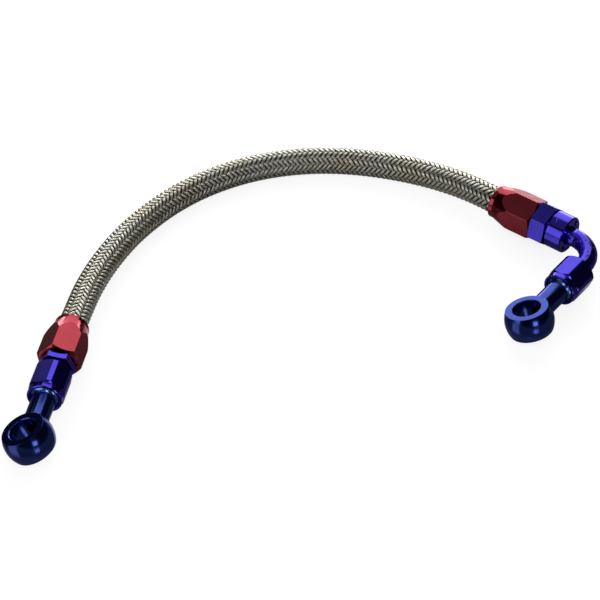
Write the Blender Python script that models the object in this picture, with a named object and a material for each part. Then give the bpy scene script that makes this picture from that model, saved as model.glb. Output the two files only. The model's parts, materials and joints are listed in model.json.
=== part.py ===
"""Braided fuel line: a stainless-braided rubber hose with reusable hose ends.

The left end is straight. The right end is a swivel elbow: its bent tube turns in
the hose end. A banjo adapter is screwed to each end. Metres, +Z up, lying at rest.

Each hose end is modelled along its own axis: +Z runs from the socket's rear lip,
where the hose goes in, to the eye of the banjo. +X points down at no roll.
"""

from math import acos, cos, pi, radians, sin, sqrt, tan

import bmesh
import bpy
import numpy as np
from mathutils import Vector

mm = 0.001
clearance = 0.3 * mm
edge_break = 0.4 * mm

# Hose
hose_outer_radius = 7.1 * mm
hose_bore_radius = 4.35 * mm
braid_wall = 0.5 * mm
hose_insertion = 17.0 * mm
hose_points_apart = 4 * hose_outer_radius

# Sockets, the red halves of both hose ends
socket_length = 25.6 * mm
socket_across_flats = 19.7 * mm
socket_lip_radius = 8.7 * mm
socket_lip_length = 2.4 * mm
socket_taper_end = 12.0 * mm
socket_front_chamfer = 1.1 * mm
socket_corner_trim = 0.05 * mm

# Nipples, the blue halves that screw into the sockets
thread_radius = 7.8 * mm
tail_radius = 4.05 * mm
tail_bore_radius = 3.0 * mm
tail_start = 2.0 * mm
tail_barbs = 4
barb_pitch = 3.2 * mm
barb_slope = 1.92 * mm
barb_back = 0.2 * mm
barb_depth = 0.35 * mm
straight_hex_across_flats = 16.0 * mm
straight_hex_length = 4.0 * mm
neck_radius = 5.2 * mm
neck_length = 2.2 * mm
nose_length = 3.0 * mm
swivel_hex_across_flats = 19.6 * mm
swivel_hex_length = 8.6 * mm

# Swivel joint
collar_radius = 9.8 * mm
collar_length = 9.6 * mm
collar_gap = 0.7 * mm
collar_front_wall = 2.9 * mm
collar_edge = 0.5 * mm
collar_thread_radius = 7.9 * mm
pin_hole_radius = 1.3 * mm
pin_hole_depth = 2.0 * mm
pin_hole_circle = 7.0 * mm
flange_radius = 7.4 * mm
flange_thickness = 1.6 * mm
spigot_radius = 5.55 * mm
spigot_length = 7.6 * mm
o_ring_section = 0.475 * mm
o_ring_groove_depth = 1.25 * mm
o_ring_groove_width = 1.55 * mm
o_rings_apart = 3.2 * mm

# Elbow, with its flare and the sleeve behind the flare
tube_radius = 4.75 * mm
tube_wall = 1.2 * mm
bend_radius = 15.0 * mm
corner_station = 62.7 * mm
corner_to_eye = 64.6 * mm
flare_angle = radians(37)
flare_radius = 6.6 * mm
flare_rim = 0.4 * mm
sleeve_length = 4.0 * mm
sleeve_chamfer = 0.8 * mm

# Swivel nuts
nut_across_flats = 17.5 * mm
nut_corner_radius = 9.5 * mm
nut_length = 18.8 * mm
nut_hex_length = 15.2 * mm
nut_chamfer = 1.2 * mm
nut_ring_radius = 8.7 * mm
nut_rear_wall = 3.2 * mm
wire_radius = 0.45 * mm

# Banjo adapters
eye_radius = 12.4 * mm
eye_face_radius = 10.8 * mm
eye_thickness = 13.4 * mm
bolt_hole_radius = 7.0 * mm
stem_radius = 5.9 * mm
stem_relief = 0.9 * mm
port_radius = 2.8 * mm
adapter_thread_radius = 7.0 * mm
adapter_thread_chamfer = 0.5 * mm
cone_root_radius = 5.9 * mm
cone_undercut = 1.2 * mm
cone_tip_rim = 0.1 * mm
mouth_to_eye = 26.3 * mm

# How far each piece is rolled about its end's axis
left_socket_roll = radians(-17)
left_nipple_roll = radians(-6)
left_nut_roll = radians(19)
left_eye_roll = radians(24)
right_socket_roll = radians(30)
right_nipple_roll = radians(18)
pin_holes_roll = radians(-48)
right_nut_roll = radians(11)
right_eye_roll = radians(19)

# Where the two socket lips lie, and which way each end points from there
left_end_at = (-117.2 * mm, -6.3 * mm)
left_end_azimuth = radians(-101.0)
right_end_at = (96.1 * mm, 87.8 * mm)
right_end_azimuth = radians(-37.4)

# The free hose from the left socket to the right one, in millimetres
hose_route = [
    (-115.1, 4.6, 10.4),
    (-111.6, 21.1, 9.4),
    (-106.7, 36.9, 8.6),
    (-100.3, 52.3, 7.9),
    (-92.4, 67.0, 7.5),
    (-82.7, 80.7, 7.3),
    (-71.5, 93.2, 7.2),
    (-58.8, 103.9, 7.2),
    (-44.6, 112.7, 7.2),
    (-29.4, 119.3, 7.2),
    (-13.2, 123.5, 7.2),
    (3.4, 125.3, 7.2),
    (20.1, 124.7, 7.2),
    (36.6, 121.8, 7.3),
    (52.5, 116.7, 7.8),
    (67.5, 109.6, 8.7),
    (81.9, 100.0, 10.0),
]

# Facets
round_segments = 30
tube_segments = 24
wire_segments = 24
drill_segments = 16
eye_segments = 36
eye_arc_steps = 9
bend_steps = 10
hose_bevel_resolution = 4
sharp_angle = radians(28)

# Stations along both hose ends, worked out from the sizes above
socket_corner_radius = socket_across_flats / sqrt(3) - socket_corner_trim
thread_start = hose_insertion + clearance
hex_start = socket_length + clearance
hose_liner_radius = hose_outer_radius - braid_wall - clearance
neck_hole_radius = neck_radius + clearance
seat_rim_radius = flare_radius - flare_rim
cone_tip_radius = port_radius + cone_tip_rim
straight_hex_end = hex_start + straight_hex_length
left_nut_start = straight_hex_end + neck_length
left_wire_station = left_nut_start + nut_rear_wall / 2
left_nose = left_nut_start + nut_rear_wall + clearance
left_seat_end = left_nose + nose_length
left_mouth = left_nut_start + nut_length
left_eye_centre = left_mouth + mouth_to_eye
swivel_hex_end = hex_start + swivel_hex_length
collar_start = swivel_hex_end + collar_gap
collar_end = collar_start + collar_length
flange_end = collar_end - collar_front_wall - clearance
flange_start = flange_end - flange_thickness
spigot_start = flange_start - spigot_length
bend_start = corner_station - bend_radius
bend_length = bend_radius * pi / 2
right_mouth = corner_to_eye - mouth_to_eye
right_nut_start = right_mouth - nut_length
right_sleeve_back = right_nut_start + nut_rear_wall + clearance
right_seat_end = right_sleeve_back + sleeve_length


def clear_scene():
    for obj in list(bpy.data.objects):
        bpy.data.objects.remove(obj)


def finish(name, colour, roughness, metallic):
    """A plain material for the pieces of one finish."""
    made = bpy.data.materials.new(name)
    made.use_nodes = True
    shader = made.node_tree.nodes["Principled BSDF"]
    shader.inputs["Base Color"].default_value = (*colour, 1)
    shader.inputs["Roughness"].default_value = roughness
    shader.inputs["Metallic"].default_value = metallic
    made.diffuse_color = (*colour, 1)
    return made


def add_empty(name, parent=None, location=(0, 0, 0), rotation=(0, 0, 0)):
    empty = bpy.data.objects.new(name, None)
    bpy.context.scene.collection.objects.link(empty)
    empty.empty_display_size = 10 * mm
    empty.parent = parent
    empty.location = location
    empty.rotation_euler = rotation
    return empty


def add_piece(name, mesh, parent, look=None, location=(0, 0, 0), rotation=(0, 0, 0)):
    """An object of this mesh, placed under its parent. With no look it is a cutter."""
    piece = bpy.data.objects.new(name, mesh)
    bpy.context.scene.collection.objects.link(piece)
    piece.parent = parent
    piece.location = location
    piece.rotation_euler = rotation
    if look is None:
        piece.hide_render = True
        piece.display_type = "WIRE"
    else:
        # Each piece has a material of its own, so that one can be changed alone.
        mesh.materials.append(finish(name, *look))
    return piece


def turned(name, outline, segments=round_segments, around="Z"):
    """A mesh turned from a closed outline of (station, radius) points."""
    form = bmesh.new()
    if around == "Z":
        points = [form.verts.new((radius, 0, station)) for station, radius in outline]
        axis = (0, 0, 1)
    else:
        points = [form.verts.new((station, 0, radius)) for station, radius in outline]
        axis = (1, 0, 0)
    edges = [form.edges.new((points[i - 1], points[i])) for i in range(len(points))]
    bmesh.ops.spin(
        form, geom=points + edges, cent=(0, 0, 0), axis=axis, angle=2 * pi,
        steps=segments, use_merge=True, use_duplicate=False,
    )
    bmesh.ops.remove_doubles(form, verts=form.verts, dist=1e-7)
    bmesh.ops.dissolve_degenerate(form, edges=form.edges, dist=1e-7)
    bmesh.ops.recalc_face_normals(form, faces=form.faces)
    mesh = bpy.data.meshes.new(name)
    form.to_mesh(mesh)
    form.free()
    mesh.shade_smooth()
    mesh.set_sharp_from_angle(angle=sharp_angle)
    return mesh


def cylinder(name, radius, start, end, segments):
    """A solid round bar along Z."""
    return turned(name, [(start, 0), (start, radius), (end, radius), (end, 0)], segments)


def hexagon(name, across_flats, start, end):
    """A six-sided bar along Z, with one flat towards +X."""
    form = bmesh.new()
    corner = across_flats / sqrt(3)
    ring = [
        form.verts.new((corner * cos(radians(a)), corner * sin(radians(a)), start))
        for a in range(30, 390, 60)
    ]
    base = form.faces.new(ring)
    raised = bmesh.ops.extrude_face_region(form, geom=[base])
    top = [v for v in raised["geom"] if isinstance(v, bmesh.types.BMVert)]
    bmesh.ops.translate(form, verts=top, vec=(0, 0, end - start))
    bmesh.ops.recalc_face_normals(form, faces=form.faces)
    mesh = bpy.data.meshes.new(name)
    form.to_mesh(mesh)
    form.free()
    return mesh


def boolean(piece, operation, cutter):
    step = piece.modifiers.new(cutter.name, "BOOLEAN")
    step.operation = operation
    step.object = cutter
    step.solver = "EXACT"


def arc(centre, radius, start, end, steps):
    """Outline points on an arc about a (station, radius) centre, angles from +station."""
    return [
        (
            centre[0] + radius * cos(start + (end - start) * i / steps),
            centre[1] + radius * sin(start + (end - start) * i / steps),
        )
        for i in range(steps + 1)
    ]


def hex_milled(name, outline, across_flats, parent, look, roll):
    """A turned body with six flats milled along it, which scallop its tapers."""
    length = max(station for station, _ in outline)
    piece = add_piece(name, turned(name, outline), parent, look, rotation=(0, 0, roll))
    bar = hexagon(name + "_bar", across_flats, -socket_length, length + socket_length)
    cutter = add_piece(name + "_bar", bar, parent, rotation=(0, 0, roll))
    boolean(piece, "INTERSECT", cutter)
    return piece


def make_socket(name, parent, roll, look):
    """Lip, long taper, hex and front chamfer outside. Hose bore and thread bore inside."""
    hose_bore = hose_outer_radius + clearance
    thread_bore = thread_radius + clearance
    outline = [
        (0, socket_lip_radius - edge_break),
        (edge_break, socket_lip_radius),
        (socket_lip_length, socket_lip_radius),
        (socket_taper_end, socket_corner_radius),
        (socket_length - socket_front_chamfer, socket_corner_radius),
        (socket_length, socket_across_flats / 2 - edge_break / 2),
        (socket_length, thread_bore + edge_break),
        (socket_length - edge_break, thread_bore),
        (thread_start, thread_bore),
        (thread_start, hose_bore),
        (edge_break, hose_bore),
        (0, hose_bore + edge_break / 2),
    ]
    return hex_milled(name, outline, socket_across_flats, parent, look, roll)


def tail_outline():
    """The barbed tail in the hose's bore, from the thread back to the tail's mouth."""
    root = tail_radius - barb_depth
    points = []
    for i in range(tail_barbs, 0, -1):
        crest = tail_start + i * barb_pitch
        points.append((crest + barb_back, root))
        points.append((crest, tail_radius))
        points.append((crest - barb_slope, root))
    points.append((tail_start, root))
    points.append((tail_start, tail_bore_radius))
    return points


def hex_and_thread_outline(across_flats, hex_end):
    """The nipple's hex with both its chamfers, and the thread that screws into the socket."""
    corner = across_flats / sqrt(3)
    thread_end = thread_start + edge_break
    return [
        (hex_end, corner - 2 * edge_break),
        (hex_end - edge_break, corner),
        (hex_start + edge_break, corner),
        (hex_start, corner - 2 * edge_break),
        (hex_start, thread_radius),
        (thread_end + edge_break, thread_radius),
        (thread_end, thread_radius - edge_break),
        (thread_end, tail_radius - barb_depth),
    ]


def make_straight_nipple(name, parent, roll, look):
    """Barbed tail, thread, thin hex, neck with the wire's groove, and the cone seat."""
    groove_end = left_wire_station + wire_radius + clearance
    groove_start = left_wire_station - wire_radius - clearance
    groove_floor = neck_radius - wire_radius
    seat_depth = (seat_rim_radius - tail_bore_radius) / tan(flare_angle)
    outline = tail_outline() + [
        (left_seat_end - seat_depth, tail_bore_radius),
        (left_seat_end, seat_rim_radius),
        (left_seat_end, flare_radius),
        (left_nose + edge_break, flare_radius),
        (left_nose, flare_radius - edge_break),
        (left_nose, neck_radius),
        (groove_end, neck_radius),
        (groove_end, groove_floor),
        (groove_start, groove_floor),
        (groove_start, neck_radius),
        (straight_hex_end, neck_radius),
    ]
    outline += hex_and_thread_outline(straight_hex_across_flats, straight_hex_end)
    return hex_milled(name, outline, straight_hex_across_flats, parent, look, roll)


def make_swivel_nipple(name, parent, roll, look):
    """Barbed tail, thread, long hex, collar thread, and the bore that the spigot turns in."""
    front = flange_start - clearance
    step = spigot_start - clearance
    bore = spigot_radius + clearance
    outline = tail_outline() + [
        (step, tail_bore_radius),
        (step, bore),
        (front - edge_break, bore),
        (front, bore + edge_break),
        (front, collar_thread_radius - edge_break),
        (front - edge_break, collar_thread_radius),
        (swivel_hex_end, collar_thread_radius),
    ]
    outline += hex_and_thread_outline(swivel_hex_across_flats, swivel_hex_end)
    return hex_milled(name, outline, swivel_hex_across_flats, parent, look, roll)


def make_collar(name, parent, look):
    """The round gland nut that holds the tube's flange, with two pin-spanner holes."""
    bore = collar_thread_radius + clearance
    tube_hole = tube_radius + clearance
    wall_back = collar_end - collar_front_wall
    outline = [
        (collar_start, collar_radius - collar_edge),
        (collar_start + collar_edge, collar_radius),
        (collar_end - collar_edge, collar_radius),
        (collar_end, collar_radius - collar_edge),
        (collar_end, tube_hole + collar_edge),
        (collar_end - collar_edge, tube_hole),
        (wall_back, tube_hole),
        (wall_back, bore),
        (collar_start, bore),
    ]
    roll = (0, 0, pin_holes_roll)
    collar = add_piece(name, turned(name, outline), parent, look, rotation=roll)
    for side, word in ((-1, "rear"), (1, "front")):
        drill_name = f"{name}_{word}_drill"
        drill = cylinder(
            drill_name, pin_hole_radius, -pin_hole_depth, collar_front_wall, drill_segments
        )
        place = (
            side * pin_hole_circle * cos(pin_holes_roll),
            side * pin_hole_circle * sin(pin_holes_roll),
            collar_end,
        )
        boolean(collar, "DIFFERENCE", add_piece(drill_name, drill, parent, location=place))
    return collar


def make_nut(name, parent, start, rear_hole, roll, look, wire_groove=False):
    """A swivel nut: chamfered hex, front ring, shoulder behind the seat, thread bore."""
    bore = adapter_thread_radius + clearance
    flat = nut_across_flats / 2
    shoulder = start + nut_rear_wall
    hex_end = start + nut_hex_length
    mouth = start + nut_length
    outline = [
        (start, rear_hole + edge_break),
        (start, flat - edge_break),
        (start + nut_chamfer, nut_corner_radius),
        (hex_end - edge_break, nut_corner_radius),
        (hex_end, nut_corner_radius - edge_break),
        (hex_end + nut_chamfer / 2, nut_ring_radius),
        (mouth - edge_break, nut_ring_radius),
        (mouth, nut_ring_radius - edge_break),
        (mouth, bore + edge_break),
        (mouth - edge_break, bore),
        (shoulder + edge_break, bore),
        (shoulder, bore - edge_break),
        (shoulder, rear_hole),
    ]
    if wire_groove:
        middle = start + nut_rear_wall / 2
        half = wire_radius + clearance
        floor = rear_hole + wire_radius
        outline += [
            (middle + half, rear_hole),
            (middle + half, floor),
            (middle - half, floor),
            (middle - half, rear_hole),
        ]
    outline += [(start + edge_break, rear_hole)]
    return hex_milled(name, outline, nut_across_flats, parent, look, roll)


def ring(name, parent, station, radius, section, look):
    """A wire or O-ring: a round section turned about the end's axis."""
    outline = arc((station, radius), section, 0, 2 * pi, 8)[:-1]
    return add_piece(name, turned(name, outline, wire_segments), parent, look)


def bend_tube(mesh):
    """Bends the turned tube through a right angle towards -Y, as a bending die does."""
    for vertex in mesh.vertices:
        x, y, along = vertex.co
        turn = min(max(along - bend_start, 0), bend_length) / bend_radius
        past = max(along - bend_start - bend_length, 0)
        before = min(along, bend_start)
        reach = bend_radius + y
        vertex.co = (
            x,
            reach * cos(turn) - bend_radius - past,
            before + reach * sin(turn),
        )


def o_ring_stations():
    middle = (spigot_start + flange_start) / 2
    return [middle - o_rings_apart / 2, middle + o_rings_apart / 2]


def make_elbow_tube(name, parent, look):
    """Spigot with O-ring grooves, flange, bent tube and flared end, all one piece."""
    bore = tube_radius - tube_wall
    end = bend_start + bend_length + right_seat_end - bend_radius
    flare_length = (flare_radius - tube_radius) / tan(flare_angle)
    seat_depth = (seat_rim_radius - bore) / tan(flare_angle)
    outline = [
        (spigot_start, bore),
        (spigot_start, spigot_radius - edge_break),
        (spigot_start + edge_break, spigot_radius),
    ]
    for station in o_ring_stations():
        half = o_ring_groove_width / 2
        floor = spigot_radius - o_ring_groove_depth
        outline += [
            (station - half, spigot_radius),
            (station - half, floor),
            (station + half, floor),
            (station + half, spigot_radius),
        ]
    outline += [
        (flange_start, spigot_radius),
        (flange_start, flange_radius),
        (flange_end, flange_radius),
        (flange_end, tube_radius),
    ]
    stations = [bend_start + bend_length * i / bend_steps for i in range(bend_steps + 1)]
    outline += [(station, tube_radius) for station in stations]
    outline += [
        (end - flare_length, tube_radius),
        (end, flare_radius),
        (end, seat_rim_radius),
        (end - seat_depth, bore),
    ]
    outline += [(station, bore) for station in reversed(stations)]
    mesh = turned(name, outline, tube_segments)
    bend_tube(mesh)
    return add_piece(name, mesh, parent, look)


def make_sleeve(name, parent, look):
    """The loose sleeve behind the tube's flare, which the nut's shoulder pushes on."""
    inner = tube_radius + clearance
    outer = flare_radius
    back = right_sleeve_back
    face = right_seat_end - clearance / sin(flare_angle)
    outline = [
        (back, inner),
        (back, outer - sleeve_chamfer),
        (back + sleeve_chamfer, outer),
        (face, outer),
        (face - (outer - inner) / tan(flare_angle), inner),
    ]
    return add_piece(name, turned(name, outline, tube_segments), parent, look)


def make_banjo(name, parent, centre, mouth, seat_end, roll, look):
    """A ball-shaped eye with two milled faces, a round stem, and the male thread and cone."""
    half = eye_thickness / 2
    bulge = eye_radius - eye_face_radius
    barrel_arc = (half**2 + bulge**2) / (2 * bulge)
    lean = acos(half / barrel_arc)
    eye_outline = arc((0, eye_radius - barrel_arc), barrel_arc, lean, pi - lean, eye_arc_steps)
    eye_outline += [
        (-half, bolt_hole_radius + edge_break),
        (edge_break - half, bolt_hole_radius),
        (half - edge_break, bolt_hole_radius),
        (half, bolt_hole_radius + edge_break),
    ]
    place = (0, 0, centre)
    turn = (0, 0, roll)
    eye_mesh = turned(name, eye_outline, eye_segments, around="X")
    eye = add_piece(name, eye_mesh, parent, look, place, turn)
    # The male cone lies one clearance off the seat that it presses on.
    rim_to_tip = (seat_rim_radius - cone_tip_radius) / tan(flare_angle)
    tip = seat_end - rim_to_tip + clearance / sin(flare_angle) - centre
    cone_root = tip + (cone_root_radius - cone_tip_radius) / tan(flare_angle)
    to_mouth = mouth - centre
    stem_end = -(bolt_hole_radius + eye_face_radius) / 2
    stem_outline = [
        (stem_end, 0),
        (stem_end, stem_radius),
        (to_mouth + stem_relief, stem_radius),
        (to_mouth, adapter_thread_radius - adapter_thread_chamfer),
        (to_mouth - adapter_thread_chamfer, adapter_thread_radius),
        (cone_root + cone_undercut, adapter_thread_radius),
        (cone_root, cone_root_radius),
        (tip, cone_tip_radius),
        (tip, 0),
    ]
    stem_mesh = turned(name + "_stem", stem_outline)
    boolean(eye, "UNION", add_piece(name + "_stem", stem_mesh, parent, None, place, turn))
    port_end = -bolt_hole_radius / 2
    drill = cylinder(name + "_port", port_radius, tip - clearance, port_end, drill_segments)
    boolean(eye, "DIFFERENCE", add_piece(name + "_port", drill, parent, None, place, turn))
    return eye


def smooth_curve(points, first_slope, last_slope, apart):
    """Points a set distance apart on the smooth curve through the route's points."""
    route = np.array(points)
    knots = np.concatenate([[0], np.cumsum(np.linalg.norm(np.diff(route, axis=0), axis=1))])
    slopes = np.gradient(route, knots, axis=0)
    slopes[0], slopes[-1] = first_slope, last_slope
    dense = []
    for i in range(len(route) - 1):
        span = knots[i + 1] - knots[i]
        for t in np.linspace(0, 1, 24, endpoint=False):
            dense.append(
                (2 * t**3 - 3 * t**2 + 1) * route[i]
                + (t**3 - 2 * t**2 + t) * span * slopes[i]
                + (3 * t**2 - 2 * t**3) * route[i + 1]
                + (t**3 - t**2) * span * slopes[i + 1]
            )
    dense.append(route[-1])
    dense = np.array(dense)
    run = np.concatenate([[0], np.cumsum(np.linalg.norm(np.diff(dense, axis=0), axis=1))])
    stops = np.linspace(0, run[-1], round(run[-1] / apart) + 1)
    return [Vector(np.interp(stop, run, dense[:, k]) for k in range(3)) for stop in stops]


def resting_place(at, socket_roll):
    """The end's origin, at the height where the socket's lowest corner touches down."""
    corner = (socket_roll + radians(30)) % radians(60)
    off_down = min(corner, radians(60) - corner)
    return Vector((*at, socket_corner_radius * cos(off_down)))


def end_axis(azimuth):
    return Vector((cos(azimuth), sin(azimuth), 0))


def hose_points():
    """The whole hose: straight in each socket, and along its route between them."""
    left = end_axis(left_end_azimuth)
    right = end_axis(right_end_azimuth)
    left_lip = resting_place(left_end_at, left_socket_roll)
    right_lip = resting_place(right_end_at, right_socket_roll)
    free = [left_lip] + [Vector(point) * mm for point in hose_route] + [right_lip]
    curve = smooth_curve(free, -left, right, hose_points_apart)
    return [left_lip + left * hose_insertion] + curve + [right_lip + right * hose_insertion]


def make_hose_layer(name, outer_radius, wall, look):
    """One layer of the hose: a round tube along the hose's points, hollowed by a wall."""
    curve = bpy.data.curves.new(name, "CURVE")
    curve.dimensions = "3D"
    curve.bevel_depth = outer_radius
    curve.bevel_resolution = hose_bevel_resolution
    curve.use_fill_caps = False
    spline = curve.splines.new("POLY")
    points = hose_points()
    spline.points.add(len(points) - 1)
    for slot, point in zip(spline.points, points):
        slot.co = (*point, 1)
    curve.materials.append(finish(name, *look))
    hose = bpy.data.objects.new(name, curve)
    bpy.context.scene.collection.objects.link(hose)
    shell = hose.modifiers.new("wall", "SOLIDIFY")
    shell.thickness = wall
    shell.offset = -1
    return hose


red = ((0.45, 0.02, 0.05), 0.3, 1.0)
blue = ((0.09, 0.05, 0.55), 0.28, 1.0)
navy = ((0.01, 0.04, 0.30), 0.25, 1.0)
steel = ((0.55, 0.54, 0.50), 0.35, 1.0)
rubber = ((0.02, 0.02, 0.02), 0.7, 0.0)

clear_scene()
make_hose_layer("hose_braid", hose_outer_radius, braid_wall, steel)
make_hose_layer("hose_liner", hose_liner_radius, hose_liner_radius - hose_bore_radius, rubber)

left_place = resting_place(left_end_at, left_socket_roll)
left_end = add_empty("left_end", None, left_place, (0, pi / 2, left_end_azimuth))
make_socket("left_socket", left_end, left_socket_roll, red)
make_straight_nipple("left_nipple", left_end, left_nipple_roll, blue)
make_nut("left_nut", left_end, left_nut_start, neck_hole_radius, left_nut_roll, blue, True)
ring("left_nut_wire", left_end, left_wire_station, neck_hole_radius, wire_radius, steel)
make_banjo(
    "left_banjo", left_end, left_eye_centre, left_mouth, left_seat_end, left_eye_roll, navy
)

right_place = resting_place(right_end_at, right_socket_roll)
right_end = add_empty("right_end", None, right_place, (0, pi / 2, right_end_azimuth))
make_socket("right_socket", right_end, right_socket_roll, red)
make_swivel_nipple("right_nipple", right_end, right_nipple_roll, blue)
make_collar("swivel_collar", right_end, blue)

elbow = add_empty("elbow", right_end)
make_elbow_tube("elbow_tube", elbow, blue)
for which, station in zip(("rear", "front"), o_ring_stations()):
    ring(f"{which}_o_ring", elbow, station, spigot_radius - o_ring_section, o_ring_section, rubber)

# The elbow's outlet leg, with stations measured from where the two axes cross
leg = add_empty("elbow_leg", elbow, (0, 0, corner_station), (pi / 2, 0, 0))
make_sleeve("flare_sleeve", leg, steel)
make_nut("right_nut", leg, right_nut_start, tube_radius + clearance, right_nut_roll, blue)
make_banjo(
    "right_banjo", leg, corner_to_eye, right_mouth, right_seat_end, right_eye_roll, navy
)
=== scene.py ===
import json
from math import acos, cos, pi, radians, sin, sqrt, tan

import bmesh
import bpy
import numpy as np
from mathutils import Matrix, Vector

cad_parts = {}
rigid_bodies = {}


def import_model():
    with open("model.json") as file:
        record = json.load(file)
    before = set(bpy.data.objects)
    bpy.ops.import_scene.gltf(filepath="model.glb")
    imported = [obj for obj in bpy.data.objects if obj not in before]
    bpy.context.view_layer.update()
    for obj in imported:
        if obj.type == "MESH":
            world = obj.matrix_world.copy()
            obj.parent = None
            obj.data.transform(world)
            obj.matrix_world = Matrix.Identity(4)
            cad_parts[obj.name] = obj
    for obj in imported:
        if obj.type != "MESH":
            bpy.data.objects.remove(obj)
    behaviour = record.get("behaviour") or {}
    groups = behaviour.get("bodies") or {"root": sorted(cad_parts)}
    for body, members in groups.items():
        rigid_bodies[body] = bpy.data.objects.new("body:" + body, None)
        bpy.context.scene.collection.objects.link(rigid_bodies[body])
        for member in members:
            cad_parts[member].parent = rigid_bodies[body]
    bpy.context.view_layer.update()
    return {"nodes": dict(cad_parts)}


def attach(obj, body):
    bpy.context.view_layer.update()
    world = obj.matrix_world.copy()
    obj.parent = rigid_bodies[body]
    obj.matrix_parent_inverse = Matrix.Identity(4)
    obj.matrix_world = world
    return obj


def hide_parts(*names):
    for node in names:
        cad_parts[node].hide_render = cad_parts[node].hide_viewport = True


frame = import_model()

mm = 0.001


# Small helpers, for working as by hand

def deselectAll():
    for obj in bpy.context.view_layer.objects:
        obj.select_set(False)


def pick(obj):
    deselectAll()
    bpy.context.view_layer.objects.active = obj
    obj.select_set(True)


def editStart(obj):
    pick(obj)
    bpy.ops.object.mode_set(mode="EDIT")
    bpy.ops.mesh.select_mode(type="VERT")
    bpy.ops.mesh.select_all(action="SELECT")


def editEnd():
    bpy.ops.object.mode_set(mode="OBJECT")


def selectWhere(obj, test):
    # in edit mode: selects only the vertices that pass the test
    form = bmesh.from_edit_mesh(obj.data)
    for vert in form.verts:
        vert.select = test(vert.co)
    form.select_flush_mode()
    bmesh.update_edit_mesh(obj.data)


def extrudeSelected(x=0, y=0, z=0):
    bpy.ops.mesh.extrude_region_move(TRANSFORM_OT_translate={"value": (x, y, z)})


def applyModifiers(obj):
    pick(obj)
    for step in list(obj.modifiers):
        bpy.ops.object.modifier_apply(modifier=step.name)


def shadeByAngle(obj, angle):
    pick(obj)
    bpy.ops.object.shade_smooth_by_angle(angle=radians(angle), keep_sharp_edges=False)


# Small helpers for materials

def startMaterial(name):
    made = bpy.data.materials.new(name)
    made.use_nodes = True
    nodes, links = made.node_tree.nodes, made.node_tree.links
    return made, nodes, links, nodes["Principled BSDF"]


def noiseNode(nodes, links, vector, scale, detail=2.0):
    made = nodes.new("ShaderNodeTexNoise")
    made.inputs["Scale"].default_value = scale
    made.inputs["Detail"].default_value = detail
    links.new(vector, made.inputs["Vector"])
    return made.outputs["Fac"]


def rangeNode(nodes, links, value, low, high, start=0.3, end=0.7):
    made = nodes.new("ShaderNodeMapRange")
    links.new(value, made.inputs["Value"])
    made.inputs["From Min"].default_value = start
    made.inputs["From Max"].default_value = end
    made.inputs["To Min"].default_value = low
    made.inputs["To Max"].default_value = high
    return made.outputs["Result"]


def tintNode(nodes, links, factor, first, second):
    made = nodes.new("ShaderNodeMix")
    made.data_type = "RGBA"
    links.new(factor, made.inputs["Factor"])
    made.inputs["A"].default_value = (*first, 1)
    made.inputs["B"].default_value = (*second, 1)
    return made.outputs["Result"]


def bumpNode(nodes, links, height, distance, strength, under=None):
    made = nodes.new("ShaderNodeBump")
    made.inputs["Strength"].default_value = strength
    made.inputs["Distance"].default_value = distance
    links.new(height, made.inputs["Height"])
    if under is not None:
        links.new(under, made.inputs["Normal"])
    return made.outputs["Normal"]


def mathNode(nodes, links, operation, first, second=None):
    made = nodes.new("ShaderNodeMath")
    made.operation = operation
    for socket, value in zip(made.inputs, (first, second)):
        if isinstance(value, (int, float)):
            socket.default_value = value
        elif value is not None:
            links.new(value, socket)
    return made.outputs[0]


def timesNode(nodes, links, first, second):
    made = nodes.new("ShaderNodeMix")
    made.data_type = "RGBA"
    made.blend_type = "MULTIPLY"
    made.inputs["Factor"].default_value = 1.0
    links.new(first, made.inputs["A"])
    links.new(second, made.inputs["B"])
    return made.outputs["Result"]


# Camera, light and floor

view = {
    "target": (-0.0058, 0.0120, 0.0116),  # the middle of the picture
    "elevation": 43,  # degrees
    "distance": 1.15,
    "lens": 139.5,
    "clipStart": 0.05,
}
studio = {
    # azimuth and elevation in degrees, distance and size in metres, radiance
    "overheadBox": (0, 90, 1.20, (1.60, 1.40), 0.20),
    "rearBox": (172, 34, 1.10, (1.02, 0.93), 1.75),
    "rearStrip": (179, 5, 1.10, (1.12, 0.20), 6.0),
    "rearFill": (-148, 25, 1.10, (0.32, 0.32), 0.30),
    "topKey": (4, 54, 1.20, (0.28, 0.24), 8.0),
    "frontKey": (29, 14, 1.25, (0.38, 0.32), 3.8),
    "sideFill": (-58, 22, 1.20, (0.68, 0.94), 1.5),
    "worldFill": 0.24,  # what unlit sides receive
    "worldMirror": 0.02,  # what polished sides reflect of the room
    "worldWhite": 1.0,  # what the camera sees of it
    "floorColour": 0.30,
    "floorWhite": 0.84,  # lifts the pale floor to white for the camera
    "floorMirror": 0.02,  # and a little of it for what the metal reflects
    "floorSheen": 0.12,  # roughness of the sheen that only other surfaces see
    "floorGloss": 12.0,  # and how strongly it shows the lights behind
    "floorSlant": (0.20, 0.46),  # Facing, 0 from above and 1 at grazing, where it starts and is full
    "floorSize": 6.0,
}


def towards(azimuth, elevation):
    a, e = radians(azimuth), radians(elevation)
    return Vector((sin(a) * cos(e), -cos(a) * cos(e), sin(e)))


def aimFrom(obj, azimuth, elevation, distance):
    target = Vector(view["target"])
    obj.location = target + towards(azimuth, elevation) * distance
    obj.rotation_euler = (target - obj.location).to_track_quat("-Z", "Y").to_euler()


def makeCamera():
    bpy.ops.object.camera_add()
    camera = bpy.context.object
    aimFrom(camera, 0, view["elevation"], view["distance"])
    camera.data.lens = view["lens"]
    camera.data.clip_start = view["clipStart"]
    bpy.context.scene.camera = camera


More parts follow.
